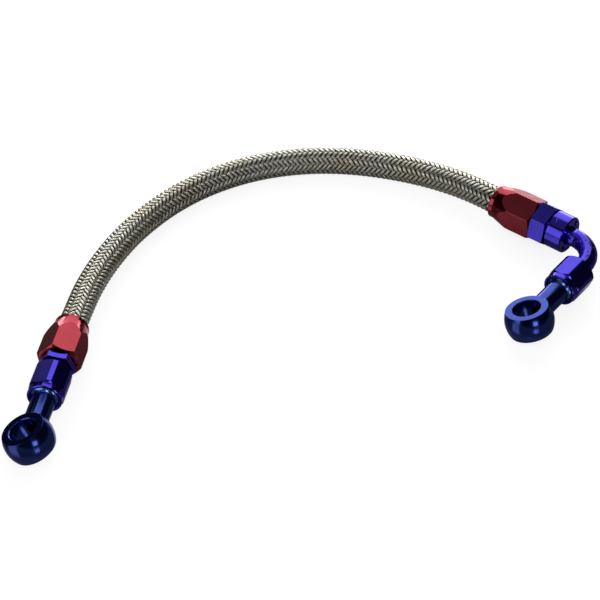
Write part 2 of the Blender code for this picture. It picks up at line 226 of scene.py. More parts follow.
def addSoftbox(name):
    azimuth, elevation, distance, size, radiance = studio[name]
    bpy.ops.object.light_add(type="AREA")
    lamp = bpy.context.object
    lamp.name = name
    lamp.visible_camera = False
    lamp.data.shape = "RECTANGLE"
    lamp.data.size, lamp.data.size_y = size
    lamp.data.energy = radiance * pi * size[0] * size[1]
    aimFrom(lamp, azimuth, elevation, distance)


def makeWorld():
    world = bpy.data.worlds.new("studioAir")
    bpy.context.scene.world = world
    world.use_nodes = True
    nodes, links = world.node_tree.nodes, world.node_tree.links
    rays = nodes.new("ShaderNodeLightPath")
    mirrored = nodes.new("ShaderNodeMix")
    links.new(rays.outputs["Is Glossy Ray"], mirrored.inputs["Factor"])
    mirrored.inputs["A"].default_value = studio["worldFill"]
    mirrored.inputs["B"].default_value = studio["worldMirror"]
    seen = nodes.new("ShaderNodeMix")
    links.new(rays.outputs["Is Camera Ray"], seen.inputs["Factor"])
    links.new(mirrored.outputs["Result"], seen.inputs["A"])
    seen.inputs["B"].default_value = studio["worldWhite"]
    links.new(seen.outputs["Result"], nodes["Background"].inputs["Strength"])
    nodes["Background"].inputs["Color"].default_value = (1, 1, 1, 1)


def makeFloor():
    # matt, lifted to white for the camera, with a sheen that only other surfaces see
    pale = bpy.data.materials.new("paleFloor")
    pale.use_nodes = True
    nodes, links = pale.node_tree.nodes, pale.node_tree.links
    nodes.remove(nodes["Principled BSDF"])
    matt = nodes.new("ShaderNodeBsdfDiffuse")
    matt.inputs["Color"].default_value = (*[studio["floorColour"]] * 3, 1)
    rays = nodes.new("ShaderNodeLightPath")
    reflected = mathNode(nodes, links, "MAXIMUM",
                         rays.outputs["Is Glossy Ray"], rays.outputs["Is Transmission Ray"])
    reflected = mathNode(nodes, links, "MULTIPLY", reflected, studio["floorMirror"])
    direct = mathNode(nodes, links, "MULTIPLY", rays.outputs["Is Camera Ray"], studio["floorWhite"])
    lift = nodes.new("ShaderNodeEmission")
    links.new(mathNode(nodes, links, "ADD", direct, reflected), lift.inputs["Strength"])
    sheen = nodes.new("ShaderNodeBsdfGlossy")
    sheen.inputs["Roughness"].default_value = studio["floorSheen"]
    unseen = mathNode(nodes, links, "SUBTRACT", 1.0, rays.outputs["Is Camera Ray"])
    shallow = nodes.new("ShaderNodeFresnel")
    shallow.inputs["IOR"].default_value = studio["floorGloss"]
    facing = nodes.new("ShaderNodeLayerWeight")
    slanted = rangeNode(nodes, links, facing.outputs["Facing"], 0.0, 1.0, *studio["floorSlant"])
    gloss = mathNode(nodes, links, "MULTIPLY", shallow.outputs["Fac"], slanted)
    surface = nodes.new("ShaderNodeMixShader")
    links.new(mathNode(nodes, links, "MULTIPLY", gloss, unseen), surface.inputs["Fac"])
    links.new(matt.outputs[0], surface.inputs[1])
    links.new(sheen.outputs[0], surface.inputs[2])
    total = nodes.new("ShaderNodeAddShader")
    links.new(surface.outputs[0], total.inputs[0])
    links.new(lift.outputs[0], total.inputs[1])
    links.new(total.outputs[0], nodes["Material Output"].inputs["Surface"])
    bpy.ops.mesh.primitive_plane_add(size=studio["floorSize"], location=(0, 0, 0))
    floor = bpy.context.object
    floor.name = "floor"
    floor.data.materials.append(pale)


makeCamera()
makeWorld()
makeFloor()
for name in ("overheadBox", "rearBox", "rearStrip", "rearFill", "topKey", "frontKey", "sideFill"):
    addSoftbox(name)
bpy.context.scene.view_settings.view_transform = "Standard"
print("camera, lights and floor made")


# Materials

anodising = {
    # colour of thin and of thick dye, colour at grazing view, roughness from and to, clear coat
    "redAnodised": ((0.24, 0.007, 0.018), (0.32, 0.013, 0.030), (0.78, 0.46, 0.50),
                    (0.15, 0.22), 0.62),
    "blueAnodised": ((0.024, 0.011, 0.38), (0.036, 0.018, 0.52), (0.50, 0.45, 0.90),
                     (0.14, 0.20), 0.65),
    "navyAnodised": ((0.006, 0.025, 0.20), (0.011, 0.040, 0.30), (0.30, 0.40, 0.80),
                     (0.17, 0.24), 0.65),
    "threadBlue": ((0.04, 0.12, 0.38), (0.09, 0.22, 0.55), (0.20, 0.30, 0.70),
                   (0.18, 0.28), 0.6),
}
anodised = {
    "coatRoughness": 0.12,
    "coatIor": 1.5,
    "dyeScale": 120.0,  # patches of thin and thick dye
    "markScale": 5200.0,  # marks that the tool left
    "grainScale": 2600.0,
    "bump": 0.010 * mm,
    "bumpStrength": 0.12,
    "edgeRadius": 0.20 * mm,
    "edgeSamples": 6,
}
springSteel = {
    "colour": (0.62, 0.60, 0.56),
    "dullShare": 0.7,  # of the colour, where the grain is dull
    "roughness": (0.28, 0.40),
    "grainScale": 900.0,
}
rubber = {
    "hoseShade": 0.012,
    "sealShade": 0.010,
    "shares": (0.6, 1.5),  # of the shade, where the grain is dark and where it is light
    "roughness": 0.6,
    "grainScale": 1500.0,
    "bump": 0.05 * mm,
    "bumpStrength": 0.3,
}


def makeAnodised(name):
    # dyed aluminium: uneven dye, tool marks round the piece's axis, broken edges
    thin, thick, grazing, (smooth, dull), coat = anodising[name]
    made, nodes, links, shader = startMaterial(name)
    shader.inputs["Metallic"].default_value = 1.0
    shader.inputs["Specular Tint"].default_value = (*grazing, 1)
    shader.inputs["Coat Weight"].default_value = coat
    shader.inputs["Coat Roughness"].default_value = anodised["coatRoughness"]
    shader.inputs["Coat IOR"].default_value = anodised["coatIor"]
    place = nodes.new("ShaderNodeTexCoord").outputs["Object"]
    dye = noiseNode(nodes, links, place, anodised["dyeScale"], detail=4.0)
    dye = rangeNode(nodes, links, dye, 0.0, 1.0)
    links.new(tintNode(nodes, links, dye, thin, thick), shader.inputs["Base Color"])
    lathe = nodes.new("ShaderNodeAttribute")
    lathe.attribute_name = "lathe"
    marks = noiseNode(nodes, links, lathe.outputs["Vector"], anodised["markScale"], detail=3.0)
    grain = noiseNode(nodes, links, place, anodised["grainScale"])
    blend = mathNode(nodes, links, "MULTIPLY", mathNode(nodes, links, "ADD", marks, grain), 0.5)
    links.new(rangeNode(nodes, links, blend, smooth, dull), shader.inputs["Roughness"])
    edges = nodes.new("ShaderNodeBevel")
    edges.samples = anodised["edgeSamples"]
    edges.inputs["Radius"].default_value = anodised["edgeRadius"]
    normal = edges.outputs["Normal"]
    for height in (marks, grain):
        normal = bumpNode(nodes, links, height, anodised["bump"], anodised["bumpStrength"], normal)
    links.new(normal, shader.inputs["Normal"])
    return made


def makeSteel(name):
    made, nodes, links, shader = startMaterial(name)
    shader.inputs["Metallic"].default_value = 1.0
    place = nodes.new("ShaderNodeTexCoord").outputs["Object"]
    grain = noiseNode(nodes, links, place, springSteel["grainScale"], detail=3.0)
    colour = springSteel["colour"]
    dull = [part * springSteel["dullShare"] for part in colour]
    links.new(tintNode(nodes, links, grain, dull, colour), shader.inputs["Base Color"])
    links.new(rangeNode(nodes, links, grain, *springSteel["roughness"]), shader.inputs["Roughness"])
    return made


def makeRubber(name, shade):
    made, nodes, links, shader = startMaterial(name)
    place = nodes.new("ShaderNodeTexCoord").outputs["Object"]
    grain = noiseNode(nodes, links, place, rubber["grainScale"], detail=3.0)
    dark, light = [[shade * share] * 3 for share in rubber["shares"]]
    links.new(tintNode(nodes, links, grain, dark, light), shader.inputs["Base Color"])
    shader.inputs["Roughness"].default_value = rubber["roughness"]
    normal = bumpNode(nodes, links, grain, rubber["bump"], rubber["bumpStrength"])
    links.new(normal, shader.inputs["Normal"])
    return made


# The hose: a rubber tube on its smooth route, and the braid over it

hose = {
    "outer": 6.25 * mm,
    "bore": 4.35 * mm,
    "braided": 7.1 * mm,  # over the braid
    "inSocket": 17.0 * mm,
    "step": 2.0 * mm,
    "sides": 40,
    "pointsPerGap": 40,  # of the smooth curve, from one point of the route to the next
}
braid = {
    "strands": 12,  # each way
    "lead": 33.0 * mm,  # along the hose for one turn
    "middle": 6.60 * mm,
    "rise": 0.29 * mm,
    "columns": 6,  # rows of floats each way, round the hose
    "columnsTurned": radians(7.5),
    "steepness": 1.25,  # how suddenly a strand dives under the next
    "thickness": 0.46 * mm,
    "width": 1.74 * mm,
    "wires": 7,
    "stationsPerTurn": 104,
    "inSocket": 3.0 * mm,
    "step": 1.0 * mm,
    "uneven": 0.012,  # how far a strand wanders round the hose, in radians
    "wanderLength": 9.0 * mm,
    "wanderShift": 2.4,  # from one strand to the next
    "lookShift": 37.0,  # so that no two strands show the same wires
}
strandSection = {
    # shares of half the width and of the thickness, and the place across the UV map
    "across": (-1.0, -0.80, -0.42, 0.0, 0.42, 0.80, 1.0, 0.0),
    "height": (-0.28, 0.16, 0.42, 0.50, 0.42, 0.16, -0.28, -0.42),
    "u": (0.0, 0.10, 0.29, 0.5, 0.71, 0.90, 1.0, 0.5),
}
wireLook = {
    "dull": (0.46, 0.45, 0.40),
    "bright": (0.92, 0.91, 0.84),
    "patchScale": 1.7,
    "patchStretch": 0.3,  # bright patches run along the wires
    "plain": (1.0, 1.0, 1.0),
    "warm": (1.0, 0.95, 0.82),
    "warmScale": 45.0,
    "warmRange": (0.4, 0.65),
    "paintedShade": (0.10, 0.10, 0.08),  # painted shade where a strand dives under, and at its edges
    # lift and distance from the strand's middle over which the painted shade fades out
    "liftRange": (-0.5, 0.75),
    "edgeRange": (0.28, 0.52),
    "roughness": (0.38, 0.27),
    "bump": 0.06 * mm,
    "bumpStrength": 0.8,
}
ends = {
    # the socket lip in mm, and the way the end points in degrees
    "left": ((-117.2, -6.3, 11.034), -101.0),
    "right": ((96.1, 87.8, 11.324), -37.4),
}
hoseRoute = [
    (-0.1151, 0.0046, 0.0104), (-0.1116, 0.0211, 0.0094), (-0.1067, 0.0369, 0.0086),
    (-0.1003, 0.0523, 0.0079), (-0.0924, 0.0670, 0.0075), (-0.0827, 0.0807, 0.0073),
    (-0.0715, 0.0932, 0.0072), (-0.0588, 0.1039, 0.0072), (-0.0446, 0.1127, 0.0072),
    (-0.0294, 0.1193, 0.0072), (-0.0132, 0.1235, 0.0072), (0.0034, 0.1253, 0.0072),
    (0.0201, 0.1247, 0.0072), (0.0366, 0.1218, 0.0073), (0.0525, 0.1167, 0.0078),
    (0.0675, 0.1096, 0.0087), (0.0819, 0.1000, 0.0100),
]


def lipOf(side):
    return Vector(ends[side][0]) * mm


def axisOf(side):
    azimuth = radians(ends[side][1])
    return Vector((cos(azimuth), sin(azimuth), 0))


def hoseLine(inSocket, step):
    # a smooth curve through the route, with a straight run into each socket
    left, right = np.array(axisOf("left")), np.array(axisOf("right"))
    route = np.array([lipOf("left"), *hoseRoute, lipOf("right")])
    gaps = np.linalg.norm(np.diff(route, axis=0), axis=1)
    slopes = np.gradient(route, np.concatenate([[0], np.cumsum(gaps)]), axis=0)
    slopes[0], slopes[-1] = -left, right
    dense = [route[0] + left * inSocket]
    for i, gap in enumerate(gaps):
        for t in np.linspace(0, 1, hose["pointsPerGap"], endpoint=False):
            dense.append((2 * t**3 - 3 * t**2 + 1) * route[i]
                         + (t**3 - 2 * t**2 + t) * gap * slopes[i]
                         + (3 * t**2 - 2 * t**3) * route[i + 1]
                         + (t**3 - t**2) * gap * slopes[i + 1])
    dense = np.array(dense + [route[-1], route[-1] + right * inSocket])
    run = np.concatenate([[0], np.cumsum(np.linalg.norm(np.diff(dense, axis=0), axis=1))])
    stops = np.linspace(0, run[-1], round(run[-1] / step) + 1)
    line = np.stack([np.interp(stops, run, dense[:, k]) for k in range(3)], 1)
    along = np.gradient(line, axis=0)
    along /= np.linalg.norm(along, axis=1)[:, None]
    level = np.cross(along, (0, 0, 1))
    level /= np.linalg.norm(level, axis=1)[:, None]
    return stops, line, along, level, np.cross(level, along)


def tubeFaces(rows, columns, offset=0):
    r, c = np.meshgrid(np.arange(rows - 1), np.arange(columns), indexing="ij")
    a = offset + r * columns + c
    b = offset + r * columns + (c + 1) % columns
    return np.stack([a, b, b + columns, a + columns], -1).reshape(-1, 4)


def meshPiece(name, points, faces, uvs=None):
    mesh = bpy.data.meshes.new(name)
    mesh.from_pydata(points.tolist(), [], [face.tolist() for face in faces])
    if uvs is not None:
        mesh.uv_layers.new(name="strand").data.foreach_set("uv", np.float32(uvs).ravel())
    mesh.shade_smooth()
    obj = bpy.data.objects.new(name, mesh)
    bpy.context.scene.collection.objects.link(obj)
    return obj


def makeHoseTube():
    stops, line, along, level, up = hoseLine(hose["inSocket"], hose["step"])
    angles = np.linspace(0, 2 * pi, hose["sides"], endpoint=False)[None, :, None]
    ring = np.cos(angles) * level[:, None] + np.sin(angles) * up[:, None]
    outer = (line[:, None] + ring * hose["outer"]).reshape(-1, 3)
    inner = (line[:, None] + ring * hose["bore"]).reshape(-1, 3)
    skin = tubeFaces(len(line), hose["sides"])
    faces = [*skin, *(skin[:, ::-1] + len(outer))]
    first = np.arange(hose["sides"])
    after = (first + 1) % hose["sides"]
    last = (len(line) - 1) * hose["sides"]
    faces += list(np.stack([after, first, first + len(outer), after + len(outer)], -1))
    faces += list(last + np.stack([first, after, after + len(outer), first + len(outer)], -1))
    tube = meshPiece("hose_rubber_tube", np.concatenate([outer, inner]), faces)
    tube.data.materials.append(makeRubber("hoseRubber", rubber["hoseShade"]))
    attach(tube, "line")
    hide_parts("hose_liner")
    return tube, line, float(stops[-1])


def weave(angle):
    wave = np.cos(braid["columns"] * (angle - braid["columnsTurned"]))
    return np.tanh(braid["steepness"] * wave) / np.tanh(braid["steepness"])


def makeBraidWay(name, hand):
    # every strand that winds one way, over two and under two of the others
    stops, line, along, level, up = hoseLine(braid["inSocket"], braid["step"])
    count = int(stops[-1] / braid["lead"] * braid["stationsPerTurn"])
    s = np.linspace(0, stops[-1], count)
    centre, ahead, side, rise = [
        np.stack([np.interp(s, stops, part[:, k]) for k in range(3)], 1)[:, None]
        for part in (line, along, level, up)
    ]
    tilt = 2 * pi * braid["middle"] / braid["lead"]
    roundShare, aheadShare = 1 / sqrt(1 + tilt**2), tilt / sqrt(1 + tilt**2)
    across = np.array(strandSection["across"]) * braid["width"] / 2
    height = np.array(strandSection["height"]) * braid["thickness"]
    u = np.array(strandSection["u"])
    columns = len(across)
    rowOf, columnOf = np.repeat(np.arange(count - 1), columns), np.tile(np.arange(columns), count - 1)
    nextU = np.where(columnOf == columns - 1, 0.0, u[(columnOf + 1) % columns])
    points, faces, uvs, lifts = [], [], [], []
    for strand in range(braid["strands"]):
        wander = braid["uneven"] * np.sin(s / braid["wanderLength"] + braid["wanderShift"] * strand)
        angle = 2 * pi * (strand / braid["strands"] + hand * s / braid["lead"]) + wander
        turn = angle[:, None] + across[None] * roundShare / braid["middle"]
        lift = 0.5 * hand * (weave(angle)[:, None] + weave(turn))
        radius = braid["middle"] + braid["rise"] * lift + height[None]
        out = np.cos(turn)[..., None] * side + np.sin(turn)[..., None] * rise
        shift = -hand * across[None, :, None] * aheadShare
        points.append((centre + out * radius[..., None] + ahead * shift).reshape(-1, 3))
        lifts.append(lift.ravel())
        base = strand * count * columns
        quads = tubeFaces(count, columns, base)
        shownAt = s / mm + braid["lookShift"] * strand
        here, there = shownAt[rowOf], shownAt[rowOf + 1]
        corners = np.stack([
            np.stack([u[columnOf], here], 1), np.stack([nextU, here], 1),
            np.stack([nextU, there], 1), np.stack([u[columnOf], there], 1),
        ], 1)
        start, end = base + np.arange(columns), base + (count - 1) * columns + np.arange(columns)
        faces += [*quads, start[::-1], end]
        uvs += [corners.reshape(-1, 2), np.zeros((2 * columns, 2))]
    obj = meshPiece(name, np.concatenate(points), faces, np.concatenate(uvs))
    lift = obj.data.attributes.new("lift", "FLOAT", "POINT")
    lift.data.foreach_set("value", np.float32(np.concatenate(lifts)))
    return obj


def makeBraidWire():
    # stainless wires side by side, some brighter, warm in places, with painted shade where they dive
    # under and at their edges
    made, nodes, links, shader = startMaterial("braidWire")
    shader.inputs["Metallic"].default_value = 1.0
    strand = nodes.new("ShaderNodeUVMap")
    strand.uv_map = "strand"
    split = nodes.new("ShaderNodeSeparateXYZ")
    links.new(strand.outputs["UV"], split.inputs["Vector"])
    wire = mathNode(nodes, links, "MULTIPLY", split.outputs["X"], float(braid["wires"]))
    crown = mathNode(nodes, links, "ABSOLUTE", mathNode(nodes, links, "SINE",
                     mathNode(nodes, links, "MULTIPLY", wire, pi)))
    seed = nodes.new("ShaderNodeCombineXYZ")
    links.new(mathNode(nodes, links, "FLOOR", wire), seed.inputs["X"])
    stretched = mathNode(nodes, links, "MULTIPLY", split.outputs["Y"], wireLook["patchStretch"])
    links.new(stretched, seed.inputs["Y"])
    patches = noiseNode(nodes, links, seed.outputs["Vector"], wireLook["patchScale"], detail=3.0)
    patches = rangeNode(nodes, links, patches, 0.0, 1.0)
    bright = tintNode(nodes, links, patches, wireLook["dull"], wireLook["bright"])
    place = nodes.new("ShaderNodeTexCoord").outputs["Object"]
    cast = noiseNode(nodes, links, place, wireLook["warmScale"], detail=3.0)
    cast = rangeNode(nodes, links, cast, 0.0, 1.0, *wireLook["warmRange"])
    tint = tintNode(nodes, links, cast, wireLook["plain"], wireLook["warm"])
    # painted shade: darker where a strand dives under the others and towards its edges
    lift = nodes.new("ShaderNodeAttribute")
    lift.attribute_name = "lift"
    raised = rangeNode(nodes, links, lift.outputs["Fac"], 0.0, 1.0, *wireLook["liftRange"])
    fromMiddle = mathNode(nodes, links, "ABSOLUTE",
                          mathNode(nodes, links, "SUBTRACT", split.outputs["X"], 0.5))
    inMiddle = rangeNode(nodes, links, fromMiddle, 1.0, 0.0, *wireLook["edgeRange"])
    withPaintedShade = tintNode(nodes, links, mathNode(nodes, links, "MULTIPLY", raised, inMiddle),
                     wireLook["paintedShade"], wireLook["plain"])
    colour = timesNode(nodes, links, timesNode(nodes, links, bright, tint), withPaintedShade)
    links.new(colour, shader.inputs["Base Color"])
    links.new(rangeNode(nodes, links, patches, *wireLook["roughness"], 0.0, 1.0),
              shader.inputs["Roughness"])
    links.new(bumpNode(nodes, links, crown, wireLook["bump"], wireLook["bumpStrength"]),
              shader.inputs["Normal"])
    return made


tube, tubeLine, tubeLength = makeHoseTube()
braidWire = makeBraidWire()
for name, hand in (("braid_right_hand", 1), ("braid_left_hand", -1)):
    way = makeBraidWay(name, hand)
    way.data.materials.append(braidWire)
    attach(way, "line")
    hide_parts("hose_braid")
print("hose and braid made")


# Turned and milled pieces. Each is made along Z from the socket lip, in mm, then put in place.

turning = {
    "steps": 120,
    "corner": 0.07,  # broken corners
    "cornerSegments": 2,
    "near": 0.001,  # how close a corner has to be to a place to be at it
    "merge": 0.0005,
    "millLength": 200,
    "shading": 12,  # degrees
}


def turnedPiece(name, outline, axis="Z", steps=None, broken=None):
    # one point, drawn from corner to corner of the outline, closed and spun
    places = [Vector((radius, 0, station)) if axis == "Z" else Vector((station, 0, radius))
              for station, radius in outline]
    deselectAll()
    bpy.ops.mesh.primitive_plane_add(size=mm)
    obj = bpy.context.object
    obj.name = name
    editStart(obj)
    bpy.ops.mesh.merge(type="CENTER")
    bpy.ops.transform.translate(value=places[0] * mm)
    for before, after in zip(places, places[1:]):
        extrudeSelected(*((after - before) * mm))
    first, last, near = places[0] * mm, places[-1] * mm, turning["near"] * mm
    selectWhere(obj, lambda co: (co - first).length < near or (co - last).length < near)
    bpy.ops.mesh.edge_face_add()
    selectWhere(obj, broken or (lambda co: co.x > near if axis == "Z" else co.z > near))
    bpy.ops.mesh.bevel(offset=turning["corner"] * mm, affect="VERTICES",
                       segments=turning["cornerSegments"], clamp_overlap=True)
    bpy.ops.mesh.select_all(action="SELECT")
    bpy.ops.mesh.spin(steps=steps or turning["steps"], angle=2 * pi, center=(0, 0, 0),
                      axis=(0, 0, 1) if axis == "Z" else (1, 0, 0))
    bpy.ops.mesh.select_all(action="SELECT")
    bpy.ops.mesh.remove_doubles(threshold=turning["merge"] * mm)
    bpy.ops.mesh.dissolve_degenerate(threshold=turning["merge"] * mm)
    bpy.ops.mesh.select_all(action="SELECT")
    bpy.ops.mesh.normals_make_consistent(inside=False)
    editEnd()
    return obj


def cutWith(obj, tool, operation):
    step = obj.modifiers.new("cut", "BOOLEAN")
    step.operation = operation
    step.solver = "EXACT"
    step.object = tool
    applyModifiers(obj)
    bpy.data.objects.remove(tool)


def millFlats(obj, acrossFlats):
    deselectAll()
    bpy.ops.mesh.primitive_cylinder_add(vertices=6, radius=acrossFlats * mm / sqrt(3),
                                        depth=turning["millLength"] * mm)
    cutWith(obj, bpy.context.object, "INTERSECT")


def noteToolMarks(obj, eyeRadius=0):
    # how far along and out each point is, for the marks that the tool leaves
    places = np.empty(len(obj.data.vertices) * 3, np.float32)
    obj.data.vertices.foreach_get("co", places)
    x, y, z = places.reshape(-1, 3).T
    inEye = np.sqrt(x**2 + y**2 + z**2) < eyeRadius
    marks = np.where(inEye, [x, np.hypot(y, z), 0 * z], [z, np.hypot(x, y), 0 * z]).T
    lathe = obj.data.attributes.new("lathe", "FLOAT_VECTOR", "POINT")
    lathe.data.foreach_set("vector", np.float32(marks).ravel())


def endMatrix(side):
    return Matrix.Translation(lipOf(side)) @ (
        Matrix.Rotation(radians(ends[side][1]), 4, "Z") @ Matrix.Rotation(pi / 2, 4, "Y"))


def lookNamed(name):
    return bpy.data.materials.get(name) or makeAnodised(name)


def finishPiece(obj, matrix, roll, looks, node, body):
    obj.matrix_world = matrix @ Matrix.Rotation(radians(roll), 4, "Z")
    pick(obj)
    bpy.ops.object.transform_apply(location=True, rotation=True, scale=True)
    shadeByAngle(obj, turning["shading"])
    kinds = [face.material_index for face in obj.data.polygons]
    obj.data.materials.clear()
    for look in looks:
        obj.data.materials.append(lookNamed(look))
    obj.data.polygons.foreach_set("material_index", kinds)
    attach(obj, body)
    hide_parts(node)


def arcPoints(centre, radius, start, end, steps):
    return [(centre[0] + radius * cos(start + (end - start) * i / steps),
             centre[1] + radius * sin(start + (end - start) * i / steps))
            for i in range(steps + 1)]


leftEnd, rightEnd = endMatrix("left"), endMatrix("right")

socket = {
    "length": 25.6, "acrossFlats": 19.7, "cornerRadius": 11.324,
    "lipRadius": 8.7, "lipLength": 2.4, "taperEnd": 12.0, "frontChamfer": 1.1, "edge": 0.4,
    "hoseBore": 7.4, "threadBore": 8.1, "threadStart": 17.3,
    "leftRoll": -17, "rightRoll": 30,  # degrees round the end's axis
}


def makeSocket(side, matrix):
    # lip, long taper, hex and front chamfer, and the hose's and the thread's bores
    length, edge = socket["length"], socket["edge"]
    outline = [
        (0, socket["lipRadius"] - edge), (edge, socket["lipRadius"]),
        (socket["lipLength"], socket["lipRadius"]),
        (socket["taperEnd"], socket["cornerRadius"]),
        (length - socket["frontChamfer"], socket["cornerRadius"]),
        (length, socket["acrossFlats"] / 2 - edge / 2),
        (length, socket["threadBore"] + edge), (length - edge, socket["threadBore"]),
        (socket["threadStart"], socket["threadBore"]),
        (socket["threadStart"], socket["hoseBore"]),
        (edge, socket["hoseBore"]), (0, socket["hoseBore"] + edge / 2),
    ]
    name = side + "_socket"
    obj = turnedPiece(name + "_turned", outline)
    millFlats(obj, socket["acrossFlats"])
    noteToolMarks(obj)
    finishPiece(obj, matrix, socket[side + "Roll"], ["redAnodised"], name, "line")


makeSocket("left", leftEnd)
makeSocket("right", rightEnd)
print("sockets made")

nipple = {
    "threadRadius": 7.8, "hexStart": 25.9, "edge": 0.4,
    "tailRadius": 4.05, "tailBore": 3.0, "tailStart": 2.0,
    "barbs": 4, "barbPitch": 3.2, "barbSlope": 1.92, "barbBack": 0.2, "barbDepth": 0.35,
    "straightAcrossFlats": 16.0, "straightHexEnd": 29.9,
    "neckRadius": 5.2, "wireRadius": 0.45, "wireStation": 33.7, "clearance": 0.3,
    "nose": 35.6, "seatEnd": 38.6, "noseRadius": 6.6, "seatRim": 6.2,
    "swivelAcrossFlats": 19.6, "swivelHexEnd": 34.5, "collarThread": 7.9,
    "spigotRadius": 5.55, "spigotStart": 32.4, "flangeStart": 40.0,
    "seatAngle": radians(37),  # of every cone, from its axis
    "straightRoll": -6, "swivelRoll": 18,
}


def tailOutline():
    root = nipple["tailRadius"] - nipple["barbDepth"]
    points = []
    for i in range(nipple["barbs"], 0, -1):
        crest = nipple["tailStart"] + i * nipple["barbPitch"]
        points += [(crest + nipple["barbBack"], root), (crest, nipple["tailRadius"]),
                   (crest - nipple["barbSlope"], root)]
    return points + [(nipple["tailStart"], root), (nipple["tailStart"], nipple["tailBore"])]


def hexAndThread(acrossFlats, hexEnd):
    corner, edge = acrossFlats / sqrt(3), nipple["edge"]
    threadEnd = socket["threadStart"] + edge
    return [
        (hexEnd, corner - 2 * edge), (hexEnd - edge, corner),
        (nipple["hexStart"] + edge, corner), (nipple["hexStart"], corner - 2 * edge),
        (nipple["hexStart"], nipple["threadRadius"]),
        (threadEnd + edge, nipple["threadRadius"]), (threadEnd, nipple["threadRadius"] - edge),
        (threadEnd, nipple["tailRadius"] - nipple["barbDepth"]),
    ]


def makeStraightNipple():
    edge, neck, wire = nipple["edge"], nipple["neckRadius"], nipple["wireStation"]
    half = nipple["wireRadius"] + nipple["clearance"]
    seatDepth = (nipple["seatRim"] - nipple["tailBore"]) / tan(nipple["seatAngle"])
    outline = tailOutline() + [
        (nipple["seatEnd"] - seatDepth, nipple["tailBore"]),
        (nipple["seatEnd"], nipple["seatRim"]), (nipple["seatEnd"], nipple["noseRadius"]),
        (nipple["nose"] + edge, nipple["noseRadius"]), (nipple["nose"], nipple["noseRadius"] - edge),
        (nipple["nose"], neck),
        (wire + half, neck), (wire + half, neck - nipple["wireRadius"]),
        (wire - half, neck - nipple["wireRadius"]), (wire - half, neck),
        (nipple["straightHexEnd"], neck),
    ] + hexAndThread(nipple["straightAcrossFlats"], nipple["straightHexEnd"])
    obj = turnedPiece("left_nipple_turned", outline)
    millFlats(obj, nipple["straightAcrossFlats"])
    noteToolMarks(obj)
    finishPiece(obj, leftEnd, nipple["straightRoll"], ["blueAnodised"], "left_nipple", "line")


def makeSwivelNipple():
    edge = nipple["edge"]
    front = nipple["flangeStart"] - nipple["clearance"]
    step = nipple["spigotStart"] - nipple["clearance"]
    bore = nipple["spigotRadius"] + nipple["clearance"]
    outline = tailOutline() + [
        (step, nipple["tailBore"]), (step, bore), (front - edge, bore), (front, bore + edge),
        (front, nipple["collarThread"] - edge), (front - edge, nipple["collarThread"]),
        (nipple["swivelHexEnd"], nipple["collarThread"]),
    ] + hexAndThread(nipple["swivelAcrossFlats"], nipple["swivelHexEnd"])
    obj = turnedPiece("right_nipple_turned", outline)
    millFlats(obj, nipple["swivelAcrossFlats"])
    noteToolMarks(obj)
    finishPiece(obj, rightEnd, nipple["swivelRoll"], ["blueAnodised"], "right_nipple", "line")


makeStraightNipple()
makeSwivelNipple()
print("nipples made")

collar = {
    "start": 35.2, "end": 44.8, "radius": 9.8, "edge": 0.5, "frontWall": 2.9,
    "bore": 8.2, "tubeHole": 5.05,
    "pinRadius": 1.3, "pinDepth": 2.0, "pinCircle": 7.0, "pinRoll": -48,
    "pinMouth": 0.25,  # the countersink of the pin holes
    "pinSteps": 48, "drillPast": 1,
    "stakeAngle": 248, "stakeStation": 38.4, "stakeRadius": 0.9, "stakeDepth": 0.45,
    "stakeTip": 0.2, "stakeSides": 32,
}


def makeCollar():
    start, end, edge = collar["start"], collar["end"], collar["edge"]
    outline = [
        (start, collar["radius"] - edge), (start + edge, collar["radius"]),
        (end - edge, collar["radius"]), (end, collar["radius"] - edge),
        (end, collar["tubeHole"] + edge), (end - edge, collar["tubeHole"]),
        (end - collar["frontWall"], collar["tubeHole"]), (end - collar["frontWall"], collar["bore"]),
        (start, collar["bore"]),
    ]
    obj = turnedPiece("swivel_collar_turned", outline)
    pinRadius, mouth, past = collar["pinRadius"], collar["pinMouth"], collar["drillPast"]
    for side in (-1, 1):
        drill = turnedPiece("pin_drill", [
            (end - collar["pinDepth"], 0), (end - collar["pinDepth"], pinRadius),
            (end - mouth, pinRadius), (end + past, pinRadius + mouth + past), (end + past, 0),
        ], steps=collar["pinSteps"], broken=lambda co: False)
        drill.location.x = side * collar["pinCircle"] * mm
        pick(drill)
        bpy.ops.object.transform_apply(location=True)
        cutWith(obj, drill, "DIFFERENCE")
    # the staking mark that locks the collar
    angle, reach = radians(collar["stakeAngle"]), collar["radius"] - collar["stakeDepth"]
    deselectAll()
    bpy.ops.mesh.primitive_cone_add(
        vertices=collar["stakeSides"], radius1=collar["stakeTip"] * mm,
        radius2=2 * collar["stakeRadius"] * mm,
        depth=2 * collar["stakeDepth"] * mm, rotation=(0, pi / 2, angle),
        location=((reach + collar["stakeDepth"]) * cos(angle) * mm,
                  (reach + collar["stakeDepth"]) * sin(angle) * mm, collar["stakeStation"] * mm))
    cutWith(obj, bpy.context.object, "DIFFERENCE")
    noteToolMarks(obj)
    finishPiece(obj, rightEnd, collar["pinRoll"], ["blueAnodised"], "swivel_collar", "line")


makeCollar()
print("collar made")

nut = {
    "acrossFlats": 17.5, "cornerRadius": 9.5, "length": 18.8, "hexLength": 15.2,
    "chamfer": 1.2, "ringRadius": 8.7, "rearWall": 3.2, "bore": 7.3, "edge": 0.4,
    "leftStart": 32.1, "leftHole": 5.5, "leftRoll": 19,
    "rightStart": 19.5, "rightHole": 5.05, "rightRoll": 11,
}


